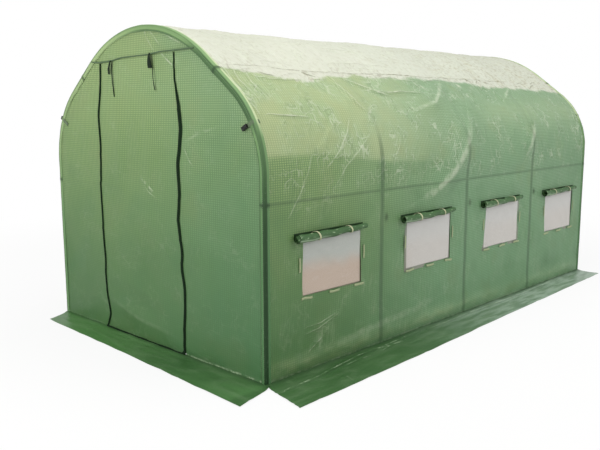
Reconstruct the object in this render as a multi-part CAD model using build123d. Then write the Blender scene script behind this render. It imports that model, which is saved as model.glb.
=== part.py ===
from build123d import *
from math import cos, radians, sin
import os

# A polytunnel greenhouse: steel hoops and purlins under a sewn, see-through sheet cover.
# X runs across the tunnel, Y along it with the door end at -Y, and Z up from the ground.
# The origin is on the ground, midway along and midway across. All lengths are millimetres.

# Overall form, measured over the cover
tunnel_width = 2160
tunnel_height = 2000
tunnel_length = 4000
shoulder_radius = 600
crown_radius = 1000
haunch_slope = 37
bay_count = 4

# Stock and fits
sheet_thickness = 3
tube_diameter = 25
tube_sides = 8
seat_clearance = 0.3
cut_overrun = 10

# Purlins
side_purlin_drop = 140
shoulder_purlin_share = 0.5

# Ground flaps, of which the left and back ones stop short of the corners
flap_width = 250
flap_setback = 140

# Door end
gable_depth = 185
seam_width = 16
door_width = 850
door_offset = -75
door_sill = 12
door_corner_radius = 70
panel_gap = 2
zip_width = 22
zip_thickness = 3
tie_width = 22
tie_length = 130
tie_thickness = 2
tie_spacing = 438
tie_offset = -48

# Edge binding round both ends
binding_width = 34
binding_thickness = 2

# Side windows, one in each bay, a little past its middle
window_width = 515
window_height = 330
window_drop = 215
window_offset = 35
screen_thickness = 2
screen_margin = 22

# Rolled-up window flaps
roll_diameter = 56
roll_overhang = 60
roll_layer_gap = 1.5
roll_half_turns = 2
roll_tail = 12
roll_rise = 6
roll_offset = -30
strap_width = 26
strap_thickness = 2
strap_shares = (0.30, 0.74)

# Fastening tabs round each window
tab_length = 88
tab_width = 18
tab_thickness = 2
tab_row_gap = 4
tab_side_gap = 18
tab_row_shares = (-0.44, 0.02, 0.46)
tab_side_share = 0.44

# Clips that grip the cover on the end hoops
clip_reach = 86
clip_return = 45
clip_width = 22
clip_strap = 2.5
buckle_length = 42
buckle_rise = 12
clip_share = 0.56

# Sizes that follow from the ones above
half_width = tunnel_width / 2
half_length = tunnel_length / 2
tube_radius = tube_diameter / 2
tube_inset = sheet_thickness + seat_clearance + tube_radius
slope_sin = sin(radians(haunch_slope))
slope_cos = cos(radians(haunch_slope))
shoulder_turn = 90 - haunch_slope
haunch_run = half_width - shoulder_radius * (1 - slope_sin) - crown_radius * slope_sin
haunch_rise = haunch_run * slope_sin / slope_cos
leg_top = tunnel_height - crown_radius * (1 - slope_cos) - haunch_rise - shoulder_radius * slope_cos
shoulder_centre = (half_width - shoulder_radius, leg_top)
crown_centre = (0, tunnel_height - crown_radius)
first_hoop_y = tube_inset - half_length
hoop_pitch = -2 * first_hoop_y / bay_count
hoop_ys = [first_hoop_y + hoop_pitch * i for i in range(bay_count + 1)]
window_ys = [first_hoop_y + hoop_pitch * (i + 0.5) + window_offset for i in range(bay_count)]
side_purlin_z = leg_top - side_purlin_drop
seam_z = tunnel_height - gable_depth
window_top = side_purlin_z - window_drop
window_mid = window_top - window_height / 2


def outline_edge(stretch, inset):
    """One stretch of the right half of the hoop outline, set in from the cover's outer face."""
    shoulder = CenterArc(shoulder_centre, shoulder_radius - inset, 0, shoulder_turn)
    crown = CenterArc(crown_centre, crown_radius - inset, shoulder_turn, haunch_slope)
    if stretch == "wall":
        return Line((half_width - inset, 0), (half_width - inset, leg_top))
    if stretch == "shoulder":
        return shoulder
    if stretch == "haunch":
        return Line(shoulder @ 1, crown @ 0)
    return crown


def strip_face(stretch, outer_inset, inner_inset):
    """The cross-section of a sheet that follows one stretch of the outline."""
    outer = outline_edge(stretch, outer_inset)
    inner = outline_edge(stretch, inner_inset)
    return make_face([outer, Line(outer @ 1, inner @ 1), inner, Line(inner @ 0, outer @ 0)])


def arch_face(inset):
    """The whole end outline, set in from the cover's outer face."""
    right = [outline_edge(name, inset) for name in ("wall", "shoulder", "haunch", "crown")]
    left = [mirror(edge, about=Plane.YZ) for edge in right]
    ground = Line((half_width - inset, 0), (inset - half_width, 0))
    return make_face(right + left + [ground])


def along_tunnel(face, y_start, length):
    """Extrude a cross-section drawn in X and Z, from y_start towards the back."""
    return Pos(0, y_start + length, 0) * extrude(Plane.XZ * face, amount=length)


def rectangle_between(x_low, x_high, z_low, z_high):
    """A rectangle in the cross-section, from its edges."""
    middle = ((x_low + x_high) / 2, (z_low + z_high) / 2)
    return Pos(*middle) * Rectangle(x_high - x_low, z_high - z_low)


def mirrored(shape):
    """The same piece on the other side of the tunnel."""
    return mirror(shape, about=Plane.YZ)


def tube_along(path, radius):
    """A bar of few sides along a path drawn in X and Z, with one corner against the cover."""
    placed = Plane.XZ * path
    start = Plane(origin=placed @ 0, x_dir=(0, 1, 0), z_dir=placed % 0)
    return sweep(start * RegularPolygon(radius, tube_sides), path=placed)


def at_each(shape, places):
    """Copies of a shape at several places along the tunnel."""
    return [Pos(0, y, 0) * shape for y in places]


pieces = {}


def add_pair(name, shapes):
    """Keep a right-hand piece and its mirrored left-hand twin."""
    pieces["right_" + name] = Compound(shapes)
    pieces["left_" + name] = Compound([mirrored(shape) for shape in shapes])


# Hoops: straight legs, bent shoulders, and rafters that meet at the ridge
leg_path = outline_edge("wall", tube_inset)
shoulder_path = outline_edge("shoulder", tube_inset)
rafter_path = Wire([outline_edge("haunch", tube_inset), outline_edge("crown", tube_inset)])
add_pair("hoop_legs", at_each(tube_along(leg_path, tube_radius), hoop_ys))
add_pair("hoop_shoulders", at_each(tube_along(shoulder_path, tube_radius), hoop_ys))
add_pair("hoop_rafters", at_each(tube_along(rafter_path, tube_radius), hoop_ys))

# Purlins and ground rails: a run of tube along the tunnel, coped round each hoop that it meets
cope_radius = tube_radius + seat_clearance
leg_cope = tube_along(leg_path, cope_radius)
rafter_cope = tube_along(rafter_path, cope_radius)


def coped_run(x, z, cutters):
    """Tubes between the hoops, with their ends hollowed to fit against them."""
    section = Pos(x, z) * RegularPolygon(tube_radius, tube_sides)
    run = along_tunnel(section, first_hoop_y, -2 * first_hoop_y)
    for y in hoop_ys:
        for cutter in cutters:
            run = run - Pos(0, y, 0) * cutter
    return list(run.solids())


haunch_path = outline_edge("haunch", tube_inset)
shoulder_purlin_place = haunch_path @ shoulder_purlin_share
leg_x = half_width - tube_inset
add_pair("side_purlin", coped_run(leg_x, side_purlin_z, [leg_cope]))
add_pair("shoulder_purlin", coped_run(shoulder_purlin_place.X, shoulder_purlin_place.Y, [rafter_cope]))
add_pair("ground_rail", coped_run(leg_x, tube_radius, [leg_cope]))
ridge_run = coped_run(0, tunnel_height - tube_inset, [rafter_cope, mirrored(rafter_cope)])
pieces["ridge_purlin"] = Compound(ridge_run)

# Side walls, with a window cut through each bay
window_cut_depth = sheet_thickness + 2 * cut_overrun
window_hole = Pos(half_width - sheet_thickness / 2, 0, window_mid) * Box(
    window_cut_depth,
    window_width,
    window_height,
)
right_wall = along_tunnel(strip_face("wall", 0, sheet_thickness), -half_length, tunnel_length)
for hole in at_each(window_hole, window_ys):
    right_wall = right_wall - hole
add_pair("wall", list(right_wall.solids()))

# Roof sheets, from the top of each wall to the ridge
for stretch in ("shoulder", "haunch", "crown"):
    face = strip_face(stretch, 0, sheet_thickness)
    add_pair("roof_" + stretch, [along_tunnel(face, -half_length, tunnel_length)])

# End walls, set inside the roof and side sheets
end_face = arch_face(sheet_thickness)
door_left = door_offset - door_width / 2
door_right = door_offset + door_width / 2
above_seam = rectangle_between(-half_width, half_width, seam_z, tunnel_height)
gable_face = end_face & above_seam
below_seam = end_face - above_seam


def round_low_corner(face, radius):
    """Round the lower right corner, where the door's zip turns along its foot."""
    corner = face.vertices().sort_by(Axis.Y)[:2].sort_by(Axis.X)[-1]
    return fillet(corner, radius)


doorway = rectangle_between(door_left, door_right, 0, seam_z)
door_face = rectangle_between(door_left + panel_gap, door_right - panel_gap, door_sill, seam_z)
doorway = round_low_corner(doorway, door_corner_radius)
door_face = round_low_corner(door_face, door_corner_radius - panel_gap)
left_panel_face, right_panel_face = (below_seam - doorway).faces().sort_by(Axis.X)


def end_sheet(face, y_start):
    """A flat sheet across an end of the tunnel."""
    return along_tunnel(face, y_start, sheet_thickness)


back_y = half_length - sheet_thickness
pieces["front_gable"] = end_sheet(gable_face, -half_length)
pieces["front_left_panel"] = end_sheet(left_panel_face, -half_length)
pieces["front_right_panel"] = end_sheet(right_panel_face, -half_length)
pieces["front_door"] = end_sheet(door_face, -half_length)
pieces["back_gable"] = end_sheet(gable_face, back_y)
pieces["back_wall"] = end_sheet(below_seam, back_y)

# Trim on the door: a zip up each side, a hem with one rounded corner, and ties to hold it rolled up
hem_low = sheet_thickness
hem_high = hem_low + zip_width
corner_z = hem_low + door_corner_radius
right_zip_low = door_right - zip_width / 2
right_zip_high = door_right + zip_width / 2
left_zip_low = door_left - zip_width / 2
left_zip_high = door_left + zip_width / 2
corner_middle = (right_zip_high - door_corner_radius, corner_z)
corner_outer = CenterArc(corner_middle, door_corner_radius, -90, 90)
corner_inner = CenterArc(corner_middle, door_corner_radius - zip_width, -90, 90)
corner_face = make_face([
    corner_outer,
    Line(corner_outer @ 1, corner_inner @ 1),
    corner_inner,
    Line(corner_inner @ 0, corner_outer @ 0),
])
hem_face = rectangle_between(left_zip_high, corner_middle[0], hem_low, hem_high) + corner_face
left_zip_face = rectangle_between(left_zip_low, left_zip_high, hem_low, seam_z - seam_width)
right_zip_face = rectangle_between(right_zip_low, right_zip_high, corner_z, seam_z - seam_width)
zip_y = -half_length - zip_thickness
pieces["door_left_zip"] = along_tunnel(left_zip_face, zip_y, zip_thickness)
pieces["door_right_zip"] = along_tunnel(right_zip_face, zip_y, zip_thickness)
pieces["door_hem"] = along_tunnel(hem_face, zip_y, zip_thickness)
tie_top = seam_z - seam_width
ties = []
for side in (-1, 1):
    tie_x = door_offset + tie_offset + side * tie_spacing / 2
    tie_face = rectangle_between(tie_x - tie_width / 2, tie_x + tie_width / 2, tie_top - tie_length, tie_top)
    ties.append(along_tunnel(tie_face, -half_length - tie_thickness, tie_thickness))
pieces["door_ties"] = Compound(ties)

# Edge binding round each end, and the seam binding between the gable and the sheets below it
binding_inner = arch_face(binding_width)
above_flap = rectangle_between(-half_width, half_width, sheet_thickness, tunnel_height)
binding_face = (arch_face(0) - binding_inner) & above_flap
seam_face = rectangle_between(-half_width, half_width, seam_z - seam_width, seam_z) & binding_inner
front_trim_y = -half_length - binding_thickness
pieces["front_edge_binding"] = along_tunnel(binding_face, front_trim_y, binding_thickness)
pieces["back_edge_binding"] = along_tunnel(binding_face, half_length, binding_thickness)
pieces["front_seam"] = along_tunnel(seam_face, front_trim_y, binding_thickness)
pieces["back_seam"] = along_tunnel(seam_face, half_length, binding_thickness)

# Window screens, sewn to the inner face of the walls over the window cuts
screen_x = half_width - sheet_thickness - screen_thickness / 2
screen = Pos(screen_x, 0, window_mid) * Box(
    screen_thickness,
    window_width + 2 * screen_margin,
    window_height + 2 * screen_margin,
)
add_pair("window_screens", at_each(screen, window_ys))

# Window flaps, rolled up from the bottom: one sheet wound inwards in half turns, hung by its tail
roll_radius = roll_diameter / 2
roll_pitch = sheet_thickness + roll_layer_gap
roll_z = window_top + roll_rise
roll_length = window_width + 2 * roll_overhang
roll_ys = [window_y + roll_offset for window_y in window_ys]


def wound_edges(depth):
    """The half turns of the rolled sheet, at a depth under its outer face, from tail to core."""
    edges = []
    for turn in range(roll_half_turns):
        outward = turn % 2
        centre = (half_width + roll_radius + outward * roll_pitch / 2, roll_z)
        radius = roll_radius - turn * roll_pitch / 2 - depth
        edges.append(CenterArc(centre, radius, 180 - 180 * outward, 180))
    return edges


outer_turns = wound_edges(0)
inner_turns = wound_edges(sheet_thickness)
tail_top = roll_z + roll_radius + roll_tail
outer_tail = Line((half_width, tail_top), outer_turns[0] @ 0)
inner_tail = Line((half_width + sheet_thickness, tail_top), inner_turns[0] @ 0)
tail_end = Line(outer_tail @ 0, inner_tail @ 0)
core_end = Line(outer_turns[-1] @ 1, inner_turns[-1] @ 1)
roll_face = make_face(outer_turns + inner_turns + [outer_tail, inner_tail, tail_end, core_end])
roll = along_tunnel(roll_face, -roll_length / 2, roll_length)
add_pair("window_rolls", at_each(roll, roll_ys))

# Straps that hold the rolls up: a band from the wall, under and round the roll, back to its tail
strap_folds = (-67.5, -22.5, 22.5, 67.5)
fold_spread = cos(radians(strap_folds[2]))


def strap_line(reach):
    """The strap's path round the roll, in flats that stand clear of it by the same reach."""
    middle_x = half_width + roll_radius
    folds = []
    for angle in strap_folds:
        turned = radians(angle)
        folds.append((middle_x + reach / fold_spread * cos(turned), roll_z + reach / fold_spread * sin(turned)))
    return [(half_width, roll_z - reach)] + folds + [(half_width + sheet_thickness, roll_z + reach)]


strap_reach = roll_radius + seat_clearance
strap_rim = strap_line(strap_reach) + strap_line(strap_reach + strap_thickness)[::-1]
strap_face = make_face(Polyline(*strap_rim, close=True))
straps = []
for roll_y in roll_ys:
    for share in strap_shares:
        strap_y = roll_y - roll_length / 2 + share * roll_length
        straps.append(along_tunnel(strap_face, strap_y - strap_width / 2, strap_width))
add_pair("roll_straps", straps)

# Fastening tabs on the walls: a row under each window and one beside it at each end
tab_x = half_width + tab_thickness / 2
row_tab = Box(tab_thickness, tab_length, tab_width)
side_tab = Box(tab_thickness, tab_width, tab_length)
row_z = window_top - window_height - tab_row_gap - tab_width / 2
side_z = window_top - tab_side_share * window_height
side_reach = window_width / 2 + tab_side_gap + tab_width / 2
tabs = []
for window_y in window_ys:
    for share in tab_row_shares:
        tabs.append(Pos(tab_x, window_y + share * window_width, row_z) * row_tab)
    for side in (-1, 1):
        tabs.append(Pos(tab_x, window_y + side * side_reach, side_z) * side_tab)
add_pair("window_tabs", tabs)

# Clips on the shoulders of the end hoops: a strap bent round the corner, buckled on the end wall at the right
# and on the side at the left
clip_turn = radians(clip_share * shoulder_turn)
clip_place = Plane(
    origin=(
        shoulder_centre[0] + shoulder_radius * cos(clip_turn),
        -half_length,
        shoulder_centre[1] + shoulder_radius * sin(clip_turn),
    ),
    x_dir=(cos(clip_turn), 0, sin(clip_turn)),
    z_dir=(-sin(clip_turn), 0, cos(clip_turn)),
)
strap_seat = -binding_thickness
strap_face_y = strap_seat - clip_strap
end_leg = rectangle_between(-clip_reach, clip_strap, strap_face_y, strap_seat)
side_leg = rectangle_between(0, clip_strap, strap_face_y, clip_return)
end_buckle = rectangle_between(-clip_reach, buckle_length - clip_reach, strap_face_y - buckle_rise, strap_face_y)
side_buckle = rectangle_between(clip_strap, clip_strap + buckle_rise, strap_face_y, strap_face_y + buckle_length)


def clip_twins(buckle):
    """A clip at the door end and its twin at the back end."""
    clip = extrude(clip_place * (end_leg + side_leg + buckle), amount=clip_width / 2, both=True)
    return [clip, mirror(clip, about=Plane.XZ)]


pieces["right_edge_clips"] = Compound(clip_twins(end_buckle))
pieces["left_edge_clips"] = Compound([mirrored(clip) for clip in clip_twins(side_buckle)])

# Ground flaps: the cover runs out over the soil on every side, open at the corners
side_flap_face = rectangle_between(half_width, half_width + flap_width, 0, sheet_thickness)
short_reach = half_width - flap_setback
short_length = tunnel_length - 2 * flap_setback
front_flap_face = rectangle_between(-half_width, half_width, 0, sheet_thickness)
back_flap_face = rectangle_between(-short_reach, short_reach, 0, sheet_thickness)
left_flap = mirrored(along_tunnel(side_flap_face, -short_length / 2, short_length))
pieces["right_ground_flap"] = along_tunnel(side_flap_face, -half_length, tunnel_length)
pieces["left_ground_flap"] = left_flap
pieces["front_ground_flap"] = along_tunnel(front_flap_face, -half_length - flap_width, flap_width)
pieces["back_ground_flap"] = along_tunnel(back_flap_face, half_length, flap_width)

os.makedirs("parts", exist_ok=True)
for name, shape in pieces.items():
    export_step(shape, "parts/" + name + ".step")
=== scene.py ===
import math

import bmesh
import bpy
import numpy as np
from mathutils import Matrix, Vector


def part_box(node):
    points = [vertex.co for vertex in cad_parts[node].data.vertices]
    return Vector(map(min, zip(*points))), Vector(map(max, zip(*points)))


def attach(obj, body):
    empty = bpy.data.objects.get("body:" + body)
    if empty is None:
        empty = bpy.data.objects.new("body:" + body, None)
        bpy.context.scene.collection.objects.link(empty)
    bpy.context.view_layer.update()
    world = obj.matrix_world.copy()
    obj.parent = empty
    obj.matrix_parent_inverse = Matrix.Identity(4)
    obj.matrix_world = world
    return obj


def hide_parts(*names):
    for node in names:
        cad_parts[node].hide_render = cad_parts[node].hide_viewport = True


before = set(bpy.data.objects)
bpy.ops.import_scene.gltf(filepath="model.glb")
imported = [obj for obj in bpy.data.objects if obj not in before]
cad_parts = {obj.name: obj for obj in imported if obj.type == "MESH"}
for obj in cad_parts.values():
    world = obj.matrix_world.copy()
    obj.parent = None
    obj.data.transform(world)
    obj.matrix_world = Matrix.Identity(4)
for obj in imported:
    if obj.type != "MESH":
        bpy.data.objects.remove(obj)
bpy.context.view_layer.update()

# Hoops. Five arches of round steel tube, powder coated a dull grey-green. Each one is two straight
# legs, two bent shoulders and two rafters pushed together, and it stands on the ground inside the cover.
half_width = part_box("right_wall")[1].x
half_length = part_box("right_wall")[1].y
ridge_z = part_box("right_roof_crown")[1].z
leg_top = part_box("right_wall")[1].z
shoulder_radius = 0.6
crown_radius = 1.0
haunch_slope = math.radians(37)
shoulder_turn = math.pi / 2 - haunch_slope
shoulder_arc = shoulder_radius * shoulder_turn
haunch_x = half_width - shoulder_radius * (1 - math.cos(shoulder_turn))
haunch_length = (haunch_x - crown_radius * math.sin(haunch_slope)) / math.cos(haunch_slope)
girth_marks = np.cumsum([leg_top, shoulder_arc, haunch_length, crown_radius * haunch_slope])
girth_half = girth_marks[3]
tube_radius = 0.0125
tube_inset = 0.0158
hoop_ys = np.linspace(tube_inset - half_length, half_length - tube_inset, 5)
hoop_pitch = float(hoop_ys[1] - hoop_ys[0])


class Strand:
    """One socket of a node tree, of a finish or of a shape. Sums on strands add Math nodes."""

    def __init__(self, socket):
        self.socket = socket

    def node(self, kind, settings=None, sockets=None, output=0):
        """Add a node to the same tree: its settings first, then the values or links of its sockets."""
        tree = self.socket.id_data
        made = tree.nodes.new(kind)
        for name, value in (settings or {}).items():
            setattr(made, name, value)
        for name, value in (sockets or {}).items():
            if isinstance(name, int):
                end = made.inputs[name]
            else:
                end = next(s for s in made.inputs if name in (s.identifier, s.name))
            if isinstance(value, Strand):
                tree.links.new(value.socket, end)
            elif end.type == "RGBA":
                end.default_value = (*value, 1.0)
            else:
                end.default_value = value
        if not made.outputs:
            return None
        if isinstance(output, int):
            return Strand(made.outputs[output])
        return Strand(next(s for s in made.outputs if output in (s.identifier, s.name)))

    def maths(self, operation, *terms):
        return self.node("ShaderNodeMath", {"operation": operation}, dict(enumerate(terms)))

    def __add__(self, other):
        return self.maths("ADD", self, other)

    def __radd__(self, other):
        return self.maths("ADD", other, self)

    def __sub__(self, other):
        return self.maths("SUBTRACT", self, other)

    def __rsub__(self, other):
        return self.maths("SUBTRACT", other, self)

    def __mul__(self, other):
        return self.maths("MULTIPLY", self, other)

    def __rmul__(self, other):
        return self.maths("MULTIPLY", other, self)

    def __truediv__(self, other):
        return self.maths("DIVIDE", self, other)

    def __rtruediv__(self, other):
        return self.maths("DIVIDE", other, self)

    def __abs__(self):
        return self.maths("ABSOLUTE", self)

    def axes(self, letters):
        """The parts of this vector strand along the lettered axes."""
        return [self.node("ShaderNodeSeparateXYZ", None, {"Vector": self}, letter) for letter in letters]

    def between(self, low, high):
        """0 up to low, 1 from high on, and a smooth step from one to the other."""
        ends = {"Value": self, "From Min": low, "From Max": high}
        return self.node("ShaderNodeMapRange", {"interpolation_type": "SMOOTHSTEP"}, ends)

    def tint(self, first, second):
        """A colour that goes from the first to the second as this strand goes from 0 to 1."""
        ends = {"Factor_Float": self, "A_Color": first, "B_Color": second}
        return self.node("ShaderNodeMix", {"data_type": "RGBA"}, ends, "Result_Color")

    def grain(self, scale, detail=3.0, stretch=(1, 1, 1), roughness=0.55):
        """Cloudy noise on this vector strand, from 0 to 1."""
        laid = self.node("ShaderNodeMapping", None, {"Vector": self, "Scale": stretch})
        values = {"Vector": laid, "Scale": scale, "Detail": detail, "Roughness": roughness}
        return laid.node("ShaderNodeTexNoise", None, values)


def start_finish(name):
    """A new material with strands for its object coordinates and its cut pattern."""
    material = bpy.data.materials.new(name)
    material.use_nodes = True
    material.node_tree.nodes.clear()
    coordinates = material.node_tree.nodes.new("ShaderNodeTexCoord")
    return material, Strand(coordinates.outputs["Object"]), Strand(coordinates.outputs["UV"])


def end_finish(shader):
    shader.node("ShaderNodeOutputMaterial", None, {"Surface": shader})


def plain_finish(material, spot, values):
    """Close a finish that is one surface of the given values, and give back its material."""
    end_finish(spot.node("ShaderNodeBsdfPrincipled", None, values))
    return material


def bumped(height, distance, strength=1.0):
    """A surface normal raised by a height strand, where 1 is the given distance."""
    ends = {"Height": height, "Distance": distance, "Strength": strength}
    return height.node("ShaderNodeBump", None, ends)


def tube_paint():
    material, spot, _ = start_finish("frame_paint")
    cloud = spot.grain(9.0)
    speckle = spot.grain(260.0, 2.0)
    colour = (cloud * 0.7 + speckle * 0.3).tint((0.13, 0.16, 0.14), (0.26, 0.30, 0.27))
    values = {
        "Base Color": colour,
        "Roughness": speckle * 0.2 + 0.35,
        "Normal": bumped(speckle, 0.0004),
        "Metallic": 0.0,
    }
    return plain_finish(material, spot, values)


def outline(girth, inset=0.0):
    """Points of the right half of the hoop line and their outward directions, by girth from the ground."""
    girth = np.asarray(girth, float)
    leg, shoulder, haunch, _ = girth_marks
    turn_low = np.clip((girth - leg) / shoulder_radius, 0, shoulder_turn)
    run = np.clip(girth - shoulder, 0, haunch_length)
    turn = turn_low + np.clip((girth - haunch) / crown_radius, 0, haunch_slope)
    high = girth > haunch
    x = half_width - shoulder_radius * (1 - np.cos(turn_low)) - run * np.sin(turn_low)
    z = np.minimum(girth, leg) + shoulder_radius * np.sin(turn_low) + run * np.cos(turn_low)
    x = np.where(high, crown_radius * np.cos(turn), x)
    z = np.where(high, ridge_z - crown_radius + crown_radius * np.sin(turn), z)
    return x - inset * np.cos(turn), z - inset * np.sin(turn), np.cos(turn), np.sin(turn)


def arch_line(inset, step=0.03):
    """The whole hoop line from the left foot over the ridge to the right foot, at Y zero."""
    girth = np.linspace(0, girth_half, int(girth_half / step))
    x, z, _, _ = outline(girth, inset)
    right = np.stack([x, np.zeros_like(x), z], axis=1)
    left = right[::-1] * (-1, 1, 1)
    return np.concatenate([right, left[1:]])


def linked(name, data):
    """A new object in the scene for a mesh, a curve, a lamp or a camera."""
    made = bpy.data.objects.new(name, data)
    bpy.context.collection.objects.link(made)
    return made


def path_object(name, lines):
    """A carrier for a shape tree: open lines through points."""
    curve = bpy.data.curves.new(name, "CURVE")
    curve.dimensions = "3D"
    for line in lines:
        spline = curve.splines.new("POLY")
        spline.points.add(len(line) - 1)
        spline.points.foreach_set("co", np.c_[np.asarray(line, float), np.ones(len(line))].ravel())
    return linked(name, curve)


def start_shape(name, inputs):
    """A new shape tree with named inputs, and the strands that leave its start."""
    tree = bpy.data.node_groups.new(name, "GeometryNodeTree")
    tree.interface.new_socket("Geometry", in_out="INPUT", socket_type="NodeSocketGeometry")
    for label, kind in inputs.items():
        tree.interface.new_socket(label, in_out="INPUT", socket_type="NodeSocket" + kind)
    tree.interface.new_socket("Geometry", in_out="OUTPUT", socket_type="NodeSocketGeometry")
    start = tree.nodes.new("NodeGroupInput")
    return tree, {socket.name: Strand(socket) for socket in start.outputs if socket.name}


def end_shape(tree, shape, finish):
    """Make instances real, give them their finish and close the tree."""
    real = shape.node("GeometryNodeRealizeInstances", None, {"Geometry": shape})
    dressed = real.node("GeometryNodeSetMaterial", None, {"Geometry": real, "Material": finish})
    end = tree.nodes.new("NodeGroupOutput")
    tree.links.new(dressed.socket, end.inputs[0])
    return tree


def grown(name, carrier, tree, values):
    """Run a shape tree on its carrier and keep the result as a plain mesh piece."""
    modifier = carrier.modifiers.new(name, "NODES")
    modifier.node_group = tree
    for item in tree.interface.items_tree:
        if item.in_out == "INPUT" and item.name in values:
            modifier[item.identifier] = values[item.name]
    carrier.data.update_tag()
    evaluated = carrier.evaluated_get(bpy.context.evaluated_depsgraph_get())
    mesh = bpy.data.meshes.new_from_object(evaluated)
    bpy.data.objects.remove(carrier)
    return linked(name, mesh)


def place(piece, slot, *nodes):
    """Fix a finished piece to the greenhouse, in place of the CAD nodes it stands for."""
    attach(piece, "root")
    if nodes:
        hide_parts(*nodes)
    return piece


def both(*names):
    return [side + name for name in names for side in ("left_", "right_")]


def tube_tree():
    inputs = {"Radius": "Float", "Repeats": "Int", "Pitch": "Float", "Finish": "Material"}
    tree, given = start_shape("tube_run", inputs)
    ring = {"Resolution": 20, "Radius": given["Radius"]}
    ring = given["Radius"].node("GeometryNodeCurvePrimitiveCircle", None, ring)
    ends = {"Curve": given["Geometry"], "Profile Curve": ring, "Fill Caps": True}
    tube = ring.node("GeometryNodeCurveToMesh", None, ends)
    tube = tube.node("GeometryNodeSetShadeSmooth", None, {"Geometry": tube})
    step = tube.node("ShaderNodeCombineXYZ", None, {"Y": given["Pitch"]})
    spots = step.node("GeometryNodeMeshLine", None, {"Count": given["Repeats"], "Offset": step})
    row = spots.node("GeometryNodeInstanceOnPoints", None, {"Points": spots, "Instance": tube})
    return end_shape(tree, row, given["Finish"])


tube_shape = tube_tree()
frame_paint = tube_paint()
hoop_line = arch_line(tube_inset) + (0, hoop_ys[0], 0)
hoop_sizes = {"Radius": tube_radius, "Repeats": len(hoop_ys), "Pitch": hoop_pitch, "Finish": frame_paint}
hoops = grown("hoops", path_object("hoop_path", [hoop_line]), tube_shape, hoop_sizes)
place(hoops, "frame_tube", *both("hoop_legs", "hoop_shoulders", "hoop_rafters"))

# Purlins and ground rails. Straight runs of the same coated tube from end hoop to end hoop: one under the
# ridge, two at the shoulders, two along the walls and two on the ground that hold the cover's foot.
purlin_places = {
    "ridge_tube": ["ridge_purlin"],
    "shoulder_tubes": both("shoulder_purlin"),
    "wall_tubes": both("side_purlin"),
    "ground_tubes": both("ground_rail"),
}
for purlin_name, purlin_nodes in purlin_places.items():
    purlin_lines = []
    for node in purlin_nodes:
        low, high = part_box(node)
        middle = (low + high) / 2
        purlin_lines.append([(middle.x, hoop_ys[0], middle.z), (middle.x, hoop_ys[-1], middle.z)])
    purlin_sizes = {"Radius": tube_radius, "Repeats": 1, "Pitch": 0.0, "Finish": frame_paint}
    purlins = grown(purlin_name, path_object(purlin_name, purlin_lines), tube_shape, purlin_sizes)
    place(purlins, "frame_tube", *purlin_nodes)

# Cover. Two long sheets of woven, laminated plastic with a grid of thicker threads, from the ground to
# the ridge, sewn together there. They are pulled over the hoops, and their packing creases and folds stay.
cover_thickness = 0.0012
cover_step = 0.0152
window_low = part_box("right_window_screens")[0].z + 0.022
window_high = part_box("right_window_screens")[1].z - 0.022
window_reach = 0.2575
window_ys = (hoop_ys[1:] + hoop_ys[:-1]) / 2 + 0.035
window_middle = (window_low + window_high) / 2
window_rise = 0.165
purlin_girths = (0.0, 0.999, girth_marks[1] + haunch_length / 2, girth_half)
sides = ((1, "right"), (-1, "left"))


def crumple(across, along, size, seed):
    """Smooth random heights from -1 to 1 over a sheet, one for each size in metres."""
    table = np.random.default_rng(seed).uniform(-1, 1, (97, 97))
    a, b = across / size, along / size
    i, j = np.floor(a).astype(int), np.floor(b).astype(int)
    f, g = a - i, b - j
    f, g = f * f * (3 - 2 * f), g * g * (3 - 2 * g)
    low = table[i % 97, j % 97] * (1 - f) + table[(i + 1) % 97, j % 97] * f
    high = table[i % 97, (j + 1) % 97] * (1 - f) + table[(i + 1) % 97, (j + 1) % 97] * f
    return low * (1 - g) + high * g


def creased(across, along, size, seed):
    """Random sharp-topped creases from 0 to 1."""
    return (1 - np.abs(crumple(across, along, size, seed))) ** 4


def step_up(value, low, high):
    share = np.clip((value - low) / (high - low), 0, 1)
    return share * share * (3 - 2 * share)


def bell(value, width):
    return np.exp(-((value / width) ** 2))


def fold_line(across, along, points):
    """The signed distance of each place from a line through given points, and a fade to its ends."""
    points = np.array(points, float)
    lengths = np.hypot(*np.diff(points, axis=0).T)
    gap = np.full(across.shape, 9.0)
    fade = np.zeros(across.shape)
    gone = 0.0
    for start, stop, length in zip(points[:-1], points[1:], lengths):
        way = (stop - start) / length
        a, b = across - start[0], along - start[1]
        run = np.clip(a * way[0] + b * way[1], 0, length)
        off_a, off_b = a - run * way[0], b - run * way[1]
        away = np.hypot(off_a, off_b) * np.where(way[0] * off_b < way[1] * off_a, -1, 1)
        closer = np.abs(away) < np.abs(gap)
        gap = np.where(closer, away, gap)
        fade = np.where(closer, np.sin(np.pi * (0.06 + 0.88 * (gone + run) / lengths.sum())) ** 0.5, fade)
        gone += length
    return gap, fade


def folded(across, along, folds):
    """The heights of a set of folds, and two layers of distance and strength that the finish draws."""
    relief = np.zeros(across.shape)
    marks = {}
    for layer, label in enumerate(("a", "b")):
        nearest, strength = np.full(across.shape, 0.06), np.zeros(across.shape)
        for points, height, width, white in folds[layer::2]:
            gap, fade = fold_line(across, along, points)
            relief += height * fade * (bell(gap, width) - 0.35 * bell(gap - 1.9 * width, 1.3 * width))
            gap = gap * 0.014 / width
            closer = np.abs(gap) < np.abs(nearest)
            nearest = np.where(closer, gap, nearest)
            strength = np.where(closer, white * fade * (1 - step_up(np.abs(gap), 0.024, 0.036)), strength)
        marks["fold_" + label], marks["white_" + label] = nearest, strength
    return relief, marks


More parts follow.
